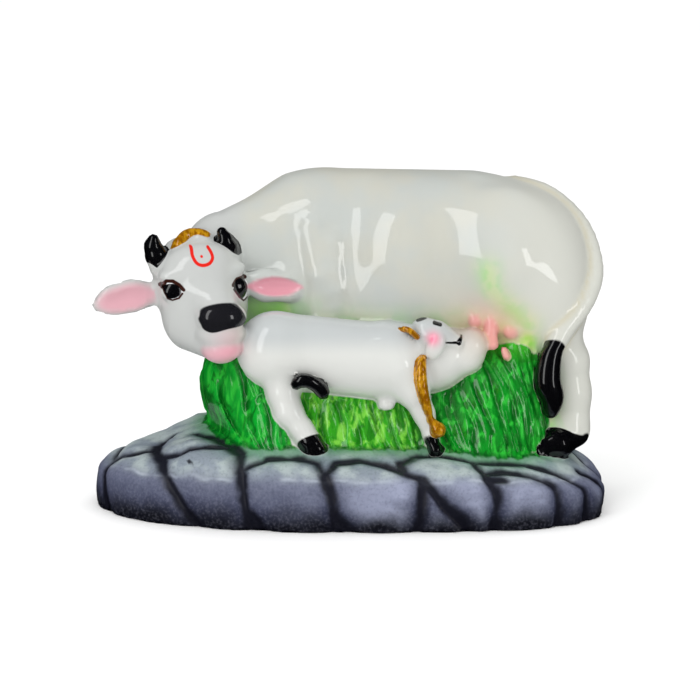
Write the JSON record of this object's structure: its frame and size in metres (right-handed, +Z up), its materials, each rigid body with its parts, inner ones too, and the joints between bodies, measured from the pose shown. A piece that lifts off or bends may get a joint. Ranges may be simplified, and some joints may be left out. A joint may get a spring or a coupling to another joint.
{
  "type": "cow and calf statue",
  "caption": "Glossy painted statue of a white cow, head turned to the front, over its suckling calf, in green grass on a grey stone base.",
  "frame": {"origin": "middle of the flat underside", "axes": "+X towards the cow's tail, +Z up; -Y is the front, where the calf stands and the cow's face looks"},
  "size_m": [0.1142, 0.0574, 0.0749],
  "materials": {
    "painted_resin": "high gloss"
  },
  "bodies": {
    "root": {"cow_and_calf_statue": "painted_resin"}
  },
  "joints": []
}
